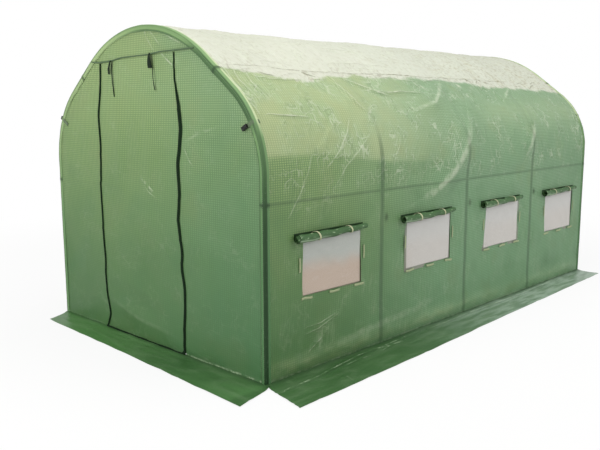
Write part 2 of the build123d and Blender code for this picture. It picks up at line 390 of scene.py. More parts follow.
def sheet_piece(name, spots, cut, facing, thickness, finish, marks=None, keep=None):
    """A thin closed sheet from a grid of spots, with its flat cut as UV in metres and marks as attributes."""
    rows, columns = spots.shape[:2]
    index = np.arange(rows * columns).reshape(rows, columns)
    corners = np.stack([index[:-1, :-1], index[1:, :-1], index[1:, 1:], index[:-1, 1:]], axis=-1)
    corners = corners[keep] if keep is not None else corners.reshape(-1, 4)
    used, faces = np.unique(corners, return_inverse=True)
    faces = faces.reshape(-1, 4)
    points = spots.reshape(-1, 3)[used]
    sides = np.cross(points[faces[:, 2]] - points[faces[:, 0]], points[faces[:, 3]] - points[faces[:, 1]])
    facing = np.broadcast_to(facing, spots.shape).reshape(-1, 3)[used][faces[:, 0]]
    if (sides * facing).sum() < 0:
        faces = faces[:, ::-1]
    mesh = bpy.data.meshes.new(name)
    mesh.from_pydata(points.tolist(), [], faces.tolist())
    cut_map = mesh.uv_layers.new(name="cut")
    cut_map.data.foreach_set("uv", cut.reshape(-1, 2)[used][faces.ravel()].ravel())
    for label, values in (marks or {}).items():
        layer = mesh.attributes.new(label, "FLOAT", "POINT")
        layer.data.foreach_set("value", np.asarray(values, float).ravel()[used])
    mesh.materials.append(finish)
    raw = linked(name + "_raw", mesh)
    shell = raw.modifiers.new("shell", "SOLIDIFY")
    shell.thickness = thickness
    shell.offset = -1
    finished = bpy.data.meshes.new_from_object(raw.evaluated_get(bpy.context.evaluated_depsgraph_get()))
    bpy.data.objects.remove(raw)
    finished.shade_smooth()
    finished.set_sharp_from_angle(angle=math.radians(60))
    return linked(name, finished)


def thread_grid(cut, pitches, width):
    """Lines of thicker thread both ways over the cut, as 0 and 1."""
    lines = []
    for axis, pitch in zip("XY", pitches):
        cell = cut.axes(axis)[0] / pitch
        off = abs(cell.maths("FRACT", cell) - 0.5)
        lines.append(1 - off.between(width * 0.5, width))
    return cut.maths("MAXIMUM", *lines)


def attribute(strand, name):
    return strand.node("ShaderNodeAttribute", {"attribute_name": name}, None, "Fac")


def fold_marks(spot, cut):
    """Painted highlights on the fold edges, broken up by noise, and the painted shade of the tucks beside
    them, from the two layers of folds.
    """
    edge_breaks = cut.grain(24.0, 3.0).between(0.36, 0.60) * 0.75 + 0.25
    edges, tucks = [], []
    for label in ("a", "b"):
        off, white = attribute(spot, "fold_" + label), attribute(spot, "white_" + label)
        edge = (1 - abs(off).between(0.001, 0.006)) * white * edge_breaks
        tuck = off.between(0.003, 0.008) * (1 - off.between(0.010, 0.022)) * white
        edges.append(edge)
        tucks.append(edge.maths("MAXIMUM", 0 - edge, tuck))
    return spot.maths("MAXIMUM", *edges), spot.maths("MAXIMUM", *tucks)


def cover_finish(name):
    """Glossy woven sheet that lets light in: painted light from above, darker near the ground, and a painted
    near-white sky reflection on the roof.
    """
    material, spot, cut = start_finish(name)
    across, along, height = spot.axes("XYZ")
    up = cut.axes("X")[0]
    labels = ("pale_and_highlight", "shade", "crinkle", "tubes", "roof", "end", "hem")
    pale_and_highlight, shade, crinkle, tubes, roof, end, hem = (attribute(spot, label) for label in labels)
    edge, tuck = fold_marks(spot, cut)
    threads = thread_grid(cut, (0.0127, 0.0175), 0.25)
    cloud = spot.grain(2.2, 4.0)
    patch = spot.grain(3.6, 3.0)
    fine = spot.grain(46.0, 3.0)
    wander = cut.grain(5.0, 4.0)
    stroke = cut.grain(6.0, 1.0, (1.5, 1.0, 1.0)) - 0.5
    small = cut.grain(13.0, 1.5, (0.8, 1.5, 1.0)) - 0.5
    # Painted highlights along random crumple creases, and painted shade in the dents beside them.
    rough = wander.between(0.44, 0.60) * crinkle
    long_crease = (1 - abs(stroke).between(0.002, 0.014)) * rough
    short_crease = (1 - abs(small).between(0.004, 0.022)) * rough * 0.8
    crease = long_crease.maths("MAXIMUM", long_crease, short_crease)
    dent = small.between(0.02, 0.045) * (1 - small.between(0.06, 0.10)) * rough
    slant = {"Vector": cut, "Rotation": (0.0, 0.0, 0.2), "Scale": (0.26, 0.018, 1.0)}
    slant = cut.node("ShaderNodeMapping", {"vector_type": "TEXTURE"}, slant)
    streak = slant.node("ShaderNodeTexNoise", None, {"Vector": slant, "Scale": 1.0, "Detail": 3.0})
    # Painted shadow of the hoops and the wall purlin, where the tubes inside block the light coming through
    # the sheet.
    hoop_cell = (along - float(hoop_ys[0])) / hoop_pitch + 0.5
    to_hoop = hoop_cell.maths("FRACT", hoop_cell) - 0.5
    hoop_band = 1 - abs(to_hoop).between(0.009, 0.028)
    to_purlin = up - purlin_girths[1]
    purlin_band = 0.75 - 0.75 * abs(to_purlin).between(0.004, 0.013)
    tube_shadow = hoop_band.maths("MAXIMUM", hoop_band, purlin_band) * tubes
    roof = (roof + (wander - 0.5) * 0.12 + (fine - 0.5) * 0.05).between(0.29, 0.325)
    speck = cut.grain(34.0, 4.0).between(0.50, 0.68) * roof * (0.22 + 0.5 * along.between(-0.5, 1.1))

    # Painted light from above: the sheet gets paler upwards and darker towards the ground.
    rise = (height / 1.9 + (cloud - 0.5) * 0.35).between(0.02, 0.95)
    warm = rise.tint((0.094, 0.222, 0.069), (0.40, 0.55, 0.22))
    cool = rise.tint((0.228, 0.43, 0.24), (0.355, 0.54, 0.335))
    colour = (along + (cloud - 0.5) * 1.2).between(-1.7, 0.0).tint(warm, cool)
    teal = (across + (cloud - 0.5) * 1.8).between(-0.3, 1.0) * end * 0.6
    colour = teal.tint(colour, rise.tint((0.065, 0.215, 0.10), (0.26, 0.46, 0.27)))
    colour = (patch.between(0.50, 0.72) * (1 - rise * 0.6) * 0.35).tint(colour, (0.075, 0.22, 0.095))
    colour = (patch.between(0.46, 0.30) * 0.3).tint(colour, rise.tint((0.17, 0.24, 0.10), (0.46, 0.52, 0.24)))
    # Painted shade: the end sheets darker still towards the ground.
    colour = ((1 - rise) * end * 0.2).tint(colour, (0.05, 0.16, 0.065))
    # Paler band high on the walls, and the painted highlight on the foot bulge.
    colour = pale_and_highlight.tint(colour, wander.between(0.35, 0.65).tint((0.68, 0.68, 0.40), (0.60, 0.70, 0.44)))
    # Painted reflection: the roof painted near white where the glossy sheet mirrors the bright sky.
    colour = (roof * 0.88 + (fine - 0.5) * 0.35 * roof).tint(colour, (0.82, 0.81, 0.72))
    smudge = cut.grain(8.0, 4.0, (2.2, 1.0, 1.0)).between(0.52, 0.70)
    smudge = smudge * roof * (0.12 + 0.4 * along.between(-0.8, 1.0))
    colour = smudge.tint(colour, (0.58, 0.53, 0.37))
    colour = speck.tint(colour, (0.42, 0.37, 0.24))
    colour = (threads * (1 - pale_and_highlight) * (1 - roof * 0.8) * 0.7).tint(colour, (0.070, 0.160, 0.060))
    scuff = streak.between(0.52, 0.72) * wander.between(0.38, 0.58) * (1 - end)
    colour = (scuff * 0.12).tint(colour, (0.68, 0.76, 0.52))
    # Painted shade in dents and tucks, and painted highlights on creases and fold edges.
    colour = (dent * 0.5).tint(colour, roof.tint((0.13, 0.21, 0.08), (0.42, 0.38, 0.27)))
    colour = (crease * 0.65).tint(colour, (0.80, 0.83, 0.66))
    colour = (shade * 0.8).tint(colour, (0.025, 0.06, 0.022))
    colour = (tube_shadow * 0.5).tint(colour, (0.035, 0.085, 0.035))
    colour = (tuck * (0.25 + 0.65 * roof)).tint(colour, roof.tint((0.10, 0.17, 0.07), (0.20, 0.18, 0.10)))
    colour = (edge * 0.85).tint(colour, (0.80, 0.84, 0.66))
    # Painted highlight: a broken pale line along the fold at the foot of the sheet.
    foot = height.between(0.011, 0.016) * (1 - height.between(0.020, 0.030))
    foot = foot * cut.grain(30.0, 4.0).between(0.40, 0.60)
    colour = (foot * hem).tint(colour, (0.50, 0.63, 0.42))
    ripple = fine * 0.35 + cut.grain(14.0, 4.0) * 0.7 + threads * 0.12
    ripple = ripple + crease * 0.7 - dent * 0.5 + edge * 1.2 - tuck
    values = {
        "Base Color": colour,
        "Roughness": 0.34 + 0.16 * cloud + threads * 0.08,
        "Normal": bumped(ripple, 0.004, 0.5),
    }
    skin = spot.node("ShaderNodeBsdfPrincipled", None, values)
    glow = spot.node("ShaderNodeBsdfTranslucent", None, {"Color": (0.42, 0.55, 0.28)})
    end_finish(spot.node("ShaderNodeMixShader", None, {0: 0.30, 1: skin, 2: glow}))
    return material


cover_green = cover_finish("cover_sheet")

# Folds of the cover: points as girth and Y, then height, width and the strength of the painted highlight on
# the fold edge, which is painted shade below zero.
cover_folds = [
    ([(1.90, -1.94), (1.75, -1.96), (1.62, -1.96), (1.50, -1.93)], 0.006, 0.014, 0.9),
    ([(1.89, -1.89), (1.74, -1.90), (1.60, -1.87)], 0.006, 0.013, 0.9),
    ([(1.86, -1.80), (1.74, -1.82), (1.60, -1.79)], 0.005, 0.013, 0.7),
    ([(1.85, -1.79), (1.80, -1.75), (1.78, -1.63), (1.79, -1.42)], 0.006, 0.016, 0.7),
    ([(1.50, -1.87), (1.49, -1.77), (1.48, -1.56)], 0.007, 0.012, 1.0),
    ([(1.41, -1.81), (1.47, -1.73)], 0.004, 0.012, -0.5),
    ([(1.24, -1.62), (1.15, -1.67), (1.03, -1.74), (0.93, -1.81)], 0.006, 0.014, 0.5),
    ([(1.47, -1.34), (1.40, -1.40), (1.33, -1.47), (1.26, -1.57)], 0.007, 0.014, -0.4),
    ([(1.83, -1.11), (1.73, -1.13), (1.57, -1.08), (1.51, -1.03)], 0.010, 0.016, 0.6),
    ([(1.45, -1.22), (1.37, -1.28), (1.26, -1.38), (1.18, -1.48)], 0.008, 0.014, 0.6),
    ([(1.82, -1.01), (1.77, -0.95), (1.67, -0.79), (1.65, -0.69)], 0.011, 0.018, 0.9),
    ([(1.69, -0.86), (1.67, -0.68), (1.69, -0.48), (1.68, -0.29)], 0.009, 0.015, 0.9),
    ([(1.35, -1.08), (1.24, -1.23), (1.17, -1.33), (1.06, -1.43)], 0.008, 0.014, 0.5),
    ([(1.33, -0.77), (1.27, -0.80), (1.18, -0.87)], 0.006, 0.013, 0.4),
    ([(1.39, 0.08), (1.23, -0.02), (1.08, -0.18), (0.95, -0.41), (0.92, -0.51)], 0.028, 0.095, 0.5),
    ([(1.80, 0.10), (1.67, -0.07), (1.58, -0.21), (1.52, -0.48)], 0.016, 0.048, 0.5),
    ([(1.35, 1.05), (1.27, 0.98), (1.17, 0.91)], 0.024, 0.080, 0.5),
    ([(1.75, 1.05), (1.64, 0.86)], 0.016, 0.038, 0.5),
    ([(0.27, -1.68), (0.27, -1.56), (0.30, -1.43)], 0.004, 0.010, 0.5),
    ([(0.23, -1.68), (0.24, -1.58), (0.29, -1.41)], 0.004, 0.010, 0.5),
    ([(0.12, -1.66), (0.19, -1.53)], 0.004, 0.010, 0.5),
    ([(0.11, -1.40), (0.14, -1.05), (0.16, -0.60), (0.19, -0.40)], 0.004, 0.080, 0.2),
    ([(1.90, -1.95), (1.90, -1.60), (1.87, -1.32), (1.87, -0.90), (1.88, -0.47), (1.86, 1.2)],
     0.004, 0.012, -1.0),
    ([(1.97, -1.58), (1.96, -1.46), (1.90, -1.42)], 0.006, 0.013, -0.4),
    ([(1.97, -1.00), (2.01, -0.70), (1.98, -0.33)], 0.006, 0.014, -0.35),
    ([(1.95, -0.83), (1.93, -0.43)], 0.005, 0.013, -0.3),
    ([(2.22, -0.91), (2.20, -0.40)], 0.006, 0.014, -0.3),
    ([(2.06, -0.35), (2.07, -0.12)], 0.005, 0.013, -0.3),
]

# Puckers: short random strokes in the row where the cover is gathered under the edge of the roof, each a
# painted highlight or, below zero, painted shade.
pucker = np.random.default_rng(7)
for number in range(26):
    girth, along = 1.84 + pucker.uniform(-0.05, 0.03), 0.145 * number - 1.92 + pucker.uniform(-0.05, 0.05)
    reach, lean = pucker.uniform(0.03, 0.08), pucker.uniform(-0.04, 0.04)
    stroke = [(girth - lean, along - reach), (girth, along), (girth + lean / 2, along + reach)]
    cover_folds.append((stroke, 0.005, 0.010, pucker.choice((-0.9, -0.6, 0.6, 0.9))))


def cover_grid():
    """Lines of the cover's grid by girth and along the tunnel, with lines on every window edge."""
    girth_stops = [0, window_low, window_high, leg_top, girth_half]
    along_stops = [-half_length]
    for window_y in window_ys:
        along_stops += [window_y - window_reach, window_y + window_reach]
    along_stops.append(half_length)
    lines = []
    for stops in (girth_stops, along_stops):
        spans = zip(stops[:-1], stops[1:])
        parts = [np.linspace(a, b, max(2, round((b - a) / cover_step)), endpoint=False) for a, b in spans]
        lines.append(np.append(np.concatenate(parts), stops[-1]))
    return np.meshgrid(*lines, indexing="ij")


def cover_relief(girth, along, seed):
    """How far the stretched sheet stands off the hoop line, and the marks that its folds leave on it."""
    to_hoop = np.min([np.abs(along - y) for y in hoop_ys], axis=0)
    to_purlin = np.min([np.abs(girth - g) for g in purlin_girths], axis=0)
    to_end = half_length - np.abs(along)
    free = (1 - bell(to_hoop, 0.05)) * (1 - bell(to_purlin, 0.05))
    upper = step_up(girth, 0.9, 1.25)
    sag = -0.010 * upper * step_up(to_hoop, 0.0, 0.4) * step_up(to_purlin, 0.0, 0.25)
    sag -= 0.004 * (1 - upper) * step_up(to_hoop, 0.0, 0.4)
    soft = 0.007 * crumple(girth, along * 1.6, 0.34, seed)
    soft += 0.004 * crumple(girth, along, 0.15, seed + 1)
    pinch = bell(girth - 1.84, 0.07)
    small = 0.0045 * creased(girth + 0.3 * along, along, 0.11, seed + 2) * (0.35 + 0.65 * upper)
    small += 0.006 * pinch * creased(girth * 0.4, along, 0.055, seed + 3)
    relief, marks = folded(girth, along, cover_folds)
    relief += (sag + soft) * free + small * (0.25 + 0.75 * free)
    foot = bell(girth - 0.075, 0.045) * (0.7 + 0.4 * crumple(girth * 0.2, along, 0.4, seed + 5))
    relief += 0.009 * foot * step_up(to_end, 0.0, 0.15)
    relief = np.maximum(relief, -0.001 - 0.03 * step_up(np.minimum(to_hoop, to_purlin), 0.012, 0.10))
    relief *= step_up(to_end, 0.0, 0.06) * 0.9 + 0.1

    # Paler places: a band high on the near walls and the upper roof sides, and a painted highlight on the
    # bulge at the foot.
    pale_edge = np.interp(along, (-1.5, -0.9, 0.2), (1.25, 1.17, 1.13))
    pale_and_highlight = 0.40 * step_up(girth - pale_edge, -0.02, 0.02) * step_up(-along, -0.1, 1.0)
    pale_and_highlight += 0.10 * step_up(girth, 1.0, 1.5) + 0.16 * bell(girth - 1.50, 0.12) * step_up(along, 0.1, 0.7)
    pale_and_highlight += 0.40 * foot * (0.6 + 0.4 * crumple(girth * 3, along, 0.06, seed + 4))
    tie_spots = [2.4 * bell(np.hypot(girth - 0.825, 1.5 * (along - y - 0.045)), 0.020) for y in hoop_ys[1:-1]]
    marks["pale_and_highlight"] = np.clip(pale_and_highlight, 0, 1)
    roof_edge = np.interp(along, (-2.0, -1.45, -0.85, 0.3, 0.9, 1.9), (1.88, 1.76, 1.84, 1.83, 1.76, 1.73))
    marks["roof"] = np.clip(0.3 + girth - roof_edge, 0, 0.6)
    marks["shade"] = np.clip(0.85 * bell(girth, 0.018) + 0.9 * sum(tie_spots), 0, 1)
    marks["crinkle"] = 0.15 + 0.55 * upper + 0.3 * pinch
    # Strength of the painted tube shadow: none at the very ends, weaker up the shoulder and gone on the roof.
    marks["tubes"] = step_up(to_end, 0.015, 0.04) * (1 - 0.85 * step_up(girth, 1.22, 1.42))
    marks["tubes"] *= 1 - step_up(girth, 1.6, 1.8)
    # Strength of the painted highlight line at the foot.
    marks["hem"] = 0.25 + 0 * girth
    return relief, marks


def cover_side(side, word, seed):
    """One half of the cover, from the ground to the ridge, with its four windows left open."""
    girth, along = cover_grid()
    relief, marks = cover_relief(girth, along, seed)
    x, z, out_x, out_z = outline(girth)
    spots = np.stack([side * (x + relief * out_x), along, z + relief * out_z], axis=-1)
    for window_y in window_ys:
        near = bell(np.maximum(np.abs(along - window_y) - window_reach, 0), 0.05)
        near *= bell(np.maximum(np.abs(girth - window_middle) - window_rise, 0), 0.05)
        spots[..., 1] += near * 0.005 * crumple(girth, along, 0.17, seed + 7)
        spots[..., 2] += near * 0.004 * crumple(along, girth, 0.21, seed + 8)
    spots[0, :, 2] = 0.0015
    middle_g = (girth[:-1, :-1] + girth[1:, 1:]) / 2
    middle_y = (along[:-1, :-1] + along[1:, 1:]) / 2
    in_row = (middle_g > window_low) & (middle_g < window_high)
    in_bay = np.min([np.abs(middle_y - y) for y in window_ys], axis=0) < window_reach
    facing = np.stack([side * out_x, np.zeros_like(x), out_z], axis=-1)
    cut = np.stack([girth, along], axis=-1)
    kept = ~(in_row & in_bay)
    piece = sheet_piece("cover_" + word, spots, cut, facing, cover_thickness, cover_green, marks, kept)
    nodes = [word + "_" + part for part in ("wall", "roof_shoulder", "roof_haunch", "roof_crown")]
    place(piece, "cover_sheet", *nodes)


for (side, word), seed in zip(sides, (11, 211)):
    cover_side(side, word, seed)

# End sheets. The same woven sheet closes both ends: at the door end a gable, two side panels and the door
# between them, and at the back a gable and one wall. They are sewn to the cover round the end hoops.
outline_x, outline_z, _, _ = outline(np.linspace(0, girth_half, 1200))
edge_gap = 0.003
zip_gap = 0.004
left_meet, right_meet = 1.811, 1.838
left_top, right_top = 1.797, 1.833
back_seam_z = 1.815
front_seed, back_seed = 31, 61
seam_places = np.array([
    (-0.60, 1.81), (-0.47, 1.80), (-0.33, 1.805), (-0.21, 1.82), (0.09, 1.825), (0.19, 1.835), (0.56, 1.84),
])
zip_places = {
    "left": np.array([
        (1.795, -0.475), (1.64, -0.49), (1.47, -0.515), (1.14, -0.505), (0.97, -0.525), (0.63, -0.515),
        (0.27, -0.51), (0.105, -0.475), (0.0, -0.52),
    ]),
    "right": np.array([
        (1.835, 0.32), (1.68, 0.32), (1.51, 0.36), (1.39, 0.375), (1.19, 0.345), (0.99, 0.355), (0.86, 0.34),
        (0.65, 0.36), (0.54, 0.345), (0.42, 0.37), (0.16, 0.365), (0.0, 0.37),
    ]),
}


def arch_x(z):
    return np.interp(z, outline_z, outline_x)


def arch_z(x):
    return np.interp(np.abs(x), outline_x[::-1], outline_z[::-1])


def eased(value, places):
    """A smooth line through given (along, off) places."""
    places = places[np.argsort(places[:, 0])]
    fine = np.linspace(places[0, 0], places[-1, 0], 400)
    rough = np.interp(fine, places[:, 0], places[:, 1])
    window = np.hanning(19)
    padded = np.pad(rough, 9, mode="edge")
    return np.interp(value, fine, np.convolve(padded, window / window.sum(), "valid"))


def seam_line(x):
    return eased(x, seam_places)


def back_seam_line(x):
    return back_seam_z + 0 * x


def zip_line(z, side):
    return eased(z, zip_places[side])


def arch_edge(side):
    """The upright edge of a sheet just inside the arch, as a function of height."""
    return lambda z: side * (arch_x(z) - edge_gap)


def zip_edge(word, side):
    """The upright edge of a sheet just beside a zip, as a function of height."""
    return lambda z: zip_line(z, word) + side * zip_gap


# Folds of the door end: points across and up, then height, width and the strength of the painted highlight on
# the fold edge, painted shade below zero.
front_folds = [
    ([(0.20, 1.825), (0.25, 1.79), (0.31, 1.75)], 0.006, 0.013, 0.8),
    ([(0.06, 1.93), (0.09, 1.89), (0.12, 1.85)], 0.004, 0.012, 0.4),
    ([(0.04, 1.975), (0.055, 1.93)], 0.003, 0.011, 0.6),
    ([(0.10, 1.955), (0.125, 1.94), (0.175, 1.885)], 0.004, 0.011, 0.6),
    ([(0.22, 1.945), (0.31, 1.905), (0.40, 1.87)], 0.004, 0.012, 0.5),
    ([(-0.04, 1.07), (0.02, 1.04), (0.09, 1.00)], 0.005, 0.012, 0.6),
    ([(0.00, 1.03), (0.05, 0.99), (0.10, 0.97)], 0.004, 0.012, 0.4),
    ([(0.41, 1.27), (0.44, 1.23), (0.47, 1.19)], 0.005, 0.012, 0.6),
    ([(0.43, 1.32), (0.55, 1.36), (0.70, 1.40)], 0.006, 0.030, 0.2),
    ([(-1.04, 1.00), (-0.75, 1.00), (-0.32, 1.01)], 0.003, 0.016, -0.7),
    ([(-0.45, 0.22), (-0.15, 0.15), (0.20, 0.12)], 0.007, 0.05, 0.08),
    ([(-0.42, 0.40), (0.0, 0.33), (0.32, 0.24)], 0.005, 0.06, 0.0),
    ([(-0.30, 1.70), (-0.27, 1.30), (-0.30, 0.90)], 0.004, 0.05, 0.0),
    ([(0.02, 1.75), (0.06, 1.30), (0.00, 0.80)], 0.005, 0.06, 0.0),
    ([(0.60, 1.55), (0.56, 1.10), (0.62, 0.60)], 0.006, 0.07, 0.0),
]


def end_relief(x, z, seed, folds):
    """How far an end sheet billows out, and the marks on it."""
    to_arch = np.minimum(arch_x(z) - np.abs(x), np.maximum(arch_z(x) - z, 0))
    free = step_up(to_arch, 0.0, 0.12)
    relief, marks = folded(x, z, folds)
    relief += free * (0.009 * crumple(x * 1.4, z, 0.42, seed) + 0.003 * crumple(x, z, 0.16, seed + 1))
    relief += 0.0025 * free * creased(x + 0.2 * z, z, 0.13, seed + 2)
    # Painted light from above: the end sheets paler towards the top.
    marks["pale_and_highlight"] = 0.12 * step_up(z, 1.2, 1.9)
    marks["shade"] = 0.3 * bell(to_arch - 0.034, 0.012) * (0.2 + 0.8 * step_up(x, -0.4, 0.2))
    marks["crinkle"] = 0.12 * free
    marks["end"] = 1 + 0 * x
    marks["hem"] = 0.1 + 0.55 * step_up(x, 0.34, 0.42)
    return relief * step_up(z, 0.0, 0.05), marks


def end_sheet(name, x, z, end, flat, held, node, rests_on):
    """One sheet of an end wall, from the places of its grid across and up."""
    seed, folds = (front_seed, front_folds) if end < 0 else (back_seed, [])
    relief, marks = end_relief(x, z, seed, folds)
    spots = np.stack([x, end * (half_length + relief), z], axis=-1)
    cut = np.stack([z, x], axis=-1)
    piece = sheet_piece(name, spots, cut, (0, end, 0), cover_thickness, cover_green, marks)
    place(piece, "cover_sheet", node)
    rising = (x[1:, 1:] - x[:-1, :-1]) * (z[1:, :-1] - z[:-1, 1:])
    falling = (x[1:, :-1] - x[:-1, 1:]) * (z[1:, 1:] - z[:-1, :-1])
    float(np.abs((rising - falling).sum()) / 2)


def between_lines(low_x, high_x, low_z, high_z, top, columns, rows=110):
    """A grid between two upright edges, given as functions of height, up to a top line over x."""
    rise = np.linspace(0, 1, rows)[:, None]
    share = np.linspace(0, 1, columns)[None, :]
    z_low, z_high = rise * low_z, rise * high_z
    x = low_x(z_low) * (1 - share) + high_x(z_high) * share
    z = z_low * (1 - share) + z_high * share
    z = z + rise ** 8 * (top(x) - (low_z * (1 - share) + high_z * share))
    return x, np.maximum(z, 0.002)


def under_arch(reach_low, reach_high, base, columns, rows):
    """A grid from a base line up to the arch."""
    x = np.linspace(reach_low, reach_high, columns)[None, :] + np.zeros((rows, 1))
    low, high = base(x), arch_z(x) - 0.003
    return x, low + np.linspace(0, 1, rows)[:, None] * np.maximum(high - low, 0.0005)


end_grids = {
    "panel_left": between_lines(arch_edge(-1), zip_edge("left", -1), left_meet, left_top, seam_line, 38),
    "panel_right": between_lines(zip_edge("right", 1), arch_edge(1), right_top, right_meet, seam_line, 46),
    "door": between_lines(zip_edge("left", 1), zip_edge("right", -1), left_top, right_top, seam_line, 54),
    "gable_front": under_arch(-0.592, 0.556, seam_line, 70, 14),
    "wall_back": between_lines(arch_edge(-1), arch_edge(1), back_seam_z, back_seam_z, back_seam_line, 128),
    "gable_back": under_arch(-0.582, 0.582, back_seam_line, 70, 14),
}
for name, end, flat, held, node, rests_on in (
    ("panel_left", -1, (0.58, 1.812), "stretched", "front_left_panel", "hoops"),
    ("panel_right", -1, (0.737, 1.839), "stretched", "front_right_panel", "hoops"),
    ("door", -1, (0.90, 1.836), "hung", "front_door", "panel_left"),
    ("gable_front", -1, (1.15, 0.21), "stretched", "front_gable", "hoops"),
    ("wall_back", 1, (2.156, 1.816), "stretched", "back_wall", "hoops"),
    ("gable_back", 1, (1.17, 0.19), "stretched", "back_gable", "hoops"),
):
    end_sheet(name, *end_grids[name], end, flat, held, node, [rests_on])


# Edge sleeves. A band of thicker, darker sheet folded round the corner at each end and sewn to the cover and
# to the end sheets, so that the end hoop runs inside it.
def sleeve_finish():
    material, spot, cut = start_finish("edge_sleeve")
    across = cut.axes("Y")[0]
    half, height = spot.axes("XZ")
    dust = spot.grain(90.0, 4.0)
    cloud = spot.grain(5.0, 3.0)
    # Painted light from above: the sleeve paler upwards.
    rise = (height / 2.0 + (cloud - 0.5) * 0.3).between(0.2, 1.0)
    high = (height + (cloud - 0.5) * 0.1).between(1.36, 1.46)
    corner = across.between(0.014, 0.024) * (1 - across.between(0.046, 0.054))
    corner = corner * (1 - height.between(0.9, 1.35) * 0.3)
    crown = (height + (cloud - 0.5) * 0.1).between(1.78, 1.90)
    edges = (1 - across.between(0.040, 0.046)) + across.between(0.060, 0.066)
    # Painted shade: the side-facing corner of the sleeve painted dark, and higher up a narrower dark line.
    dark = corner * (1 - high) + across.between(0.034, 0.042) * high * (0.9 - crown * (0.9 - 0.6 * edges))
    pale = rise.tint((0.066, 0.165, 0.062), (0.18, 0.30, 0.12))
    colour = dark.tint(pale, rise.tint((0.008, 0.036, 0.008), (0.05, 0.115, 0.04)))
    outer = (1 - across.between(0.010, 0.020)) * high * 0.9
    colour = outer.tint(colour, (0.50, 0.58, 0.33))
    rim = across.between(0.064, 0.069) * (0.6 - 0.3 * high) * (0.25 + 0.75 * half.between(-0.5, 0.1))
    colour = rim.tint(colour, (0.035, 0.085, 0.03))
    merged = half.between(0.1, -0.5) * across.between(0.042, 0.050) * 0.85
    colour = merged.tint(colour, rise.tint((0.12, 0.235, 0.095), (0.34, 0.45, 0.21)))
    colour = (dust.between(0.62, 0.75) * 0.25).tint(colour, (0.30, 0.40, 0.26))
    colour = (attribute(spot, "tie") * 0.9).tint(colour, (0.02, 0.05, 0.018))
    values = {
        "Base Color": colour,
        "Roughness": 0.50 + 0.2 * cloud,
        "Normal": bumped(cut.grain(30.0, 3.0) + dust * 0.3, 0.003, 0.6),
        "Specular IOR Level": 0.3,
    }
    return plain_finish(material, spot, values)


sleeve_green = sleeve_finish()
sleeve_profile = np.array([
    (0.0020, -0.036), (0.0034, -0.028), (0.0038, -0.018), (0.0036, -0.009), (0.0028, -0.003),
    (0.0006, 0.0016), (-0.004, 0.0032), (-0.010, 0.0040), (-0.018, 0.0040), (-0.027, 0.0034),
    (-0.035, 0.0018),
])


def sleeve(name, end, seed, node):
    """The band round one end arch, a little lumpy and swollen at the dark knots of its ties."""
    girth = np.linspace(0.003, girth_half, 260)
    x, z, out_x, out_z = outline(girth)
    x, z = np.r_[x, -x[-2::-1]], np.r_[z, z[-2::-1]]
    out_x, out_z = np.r_[out_x, -out_x[-2::-1]], np.r_[out_z, out_z[-2::-1]]
    length = np.r_[girth, 2 * girth_half - girth[-2::-1]]
    reach, along = sleeve_profile[:, 0][None, :], sleeve_profile[:, 1][None, :]
    lumps = crumple(length[:, None] * np.ones_like(reach), reach * 9, 0.06, seed)
    tie_girths = (1.0, 1.87, 2 * girth_half - 1.87, 2 * girth_half - 1.0)
    tie = sum(bell(length - tie_girth, 0.012) for tie_girth in tie_girths)[:, None] + 0 * reach
    rise = 1 + 0.35 * lumps + 1.0 * tie
    reach = np.where(reach > 0, reach * rise, reach + 0.002 * lumps)
    along = np.where(along > 0, along * rise, along + 0.002 * lumps)
    spots = np.stack([
        x[:, None] + reach * out_x[:, None],
        end * (half_length + along),
        z[:, None] + reach * out_z[:, None],
    ], axis=-1)
    over = np.r_[0, np.cumsum(np.hypot(*np.diff(sleeve_profile, axis=0).T))]
    cut = np.stack(np.broadcast_arrays(length[:, None], over[None, :]), axis=-1)
    facing = np.stack([out_x, np.full_like(out_x, end), out_z], axis=-1)[:, None, :]
    piece = sheet_piece(name, spots, cut, facing, 0.001, sleeve_green, {"tie": tie})
    place(piece, "edge_tape", node)


sleeve("sleeve_front", -1, 71, "front_edge_binding")
sleeve("sleeve_back", 1, 81, "back_edge_binding")


# Seams, zips and ties of the door end. Piping covers the seam under each gable, coil zips run up both sides
# of the door and a taped hem along its foot, and webbing ties hang from the seam to hold the door rolled up.
def tape_finish(name, dark, light, weave, gloss, shine=0.5):
    """Woven tape: fine ribs across it, with a little dust in them."""
    material, spot, cut = start_finish(name)
    along = cut.axes("X")[0]
    full_turn = 6.2832
    ribs = along.maths("SINE", along * (full_turn / weave))
    dust = spot.grain(60.0, 4.0)
    colour = (0.25 * ribs + 0.25 + dust * 0.5).tint(dark, light)
    values = {
        "Base Color": colour,
        "Roughness": gloss + 0.2 * dust,
        "Normal": bumped(ribs * 0.5 + dust, 0.0006),
        "Specular IOR Level": shine,
    }
    return plain_finish(material, spot, values)


def bead_tree():
    inputs = {"Spacing": "Float", "Size": "Vector", "Finish": "Material"}
    tree, given = start_shape("bead_row", inputs)
    ends = {"Curve": given["Geometry"], "Length": given["Spacing"]}
    spots = given["Spacing"].node("GeometryNodeResampleCurve", {"mode": "LENGTH"}, ends)
    way = spots.node("GeometryNodeInputTangent")
    turn = way.node("FunctionNodeAlignRotationToVector", {"axis": "X"}, {"Vector": way})
    bead = turn.node("GeometryNodeMeshCube", None, {"Size": given["Size"]})
    ends = {"Points": spots, "Instance": bead, "Rotation": turn}
    row = bead.node("GeometryNodeInstanceOnPoints", None, ends)
    return end_shape(tree, row, given["Finish"])


def joined(name, parts):
    """Several finished meshes as one piece."""
    whole = bmesh.new()
    for part in parts:
        whole.from_mesh(part.data)
    mesh = bpy.data.meshes.new(name)
    finish = parts[0].data.materials[0]
    whole.to_mesh(mesh)
    whole.free()
    mesh.materials.append(finish)
    for part in parts:
        bpy.data.objects.remove(part)
    return linked(name, mesh)


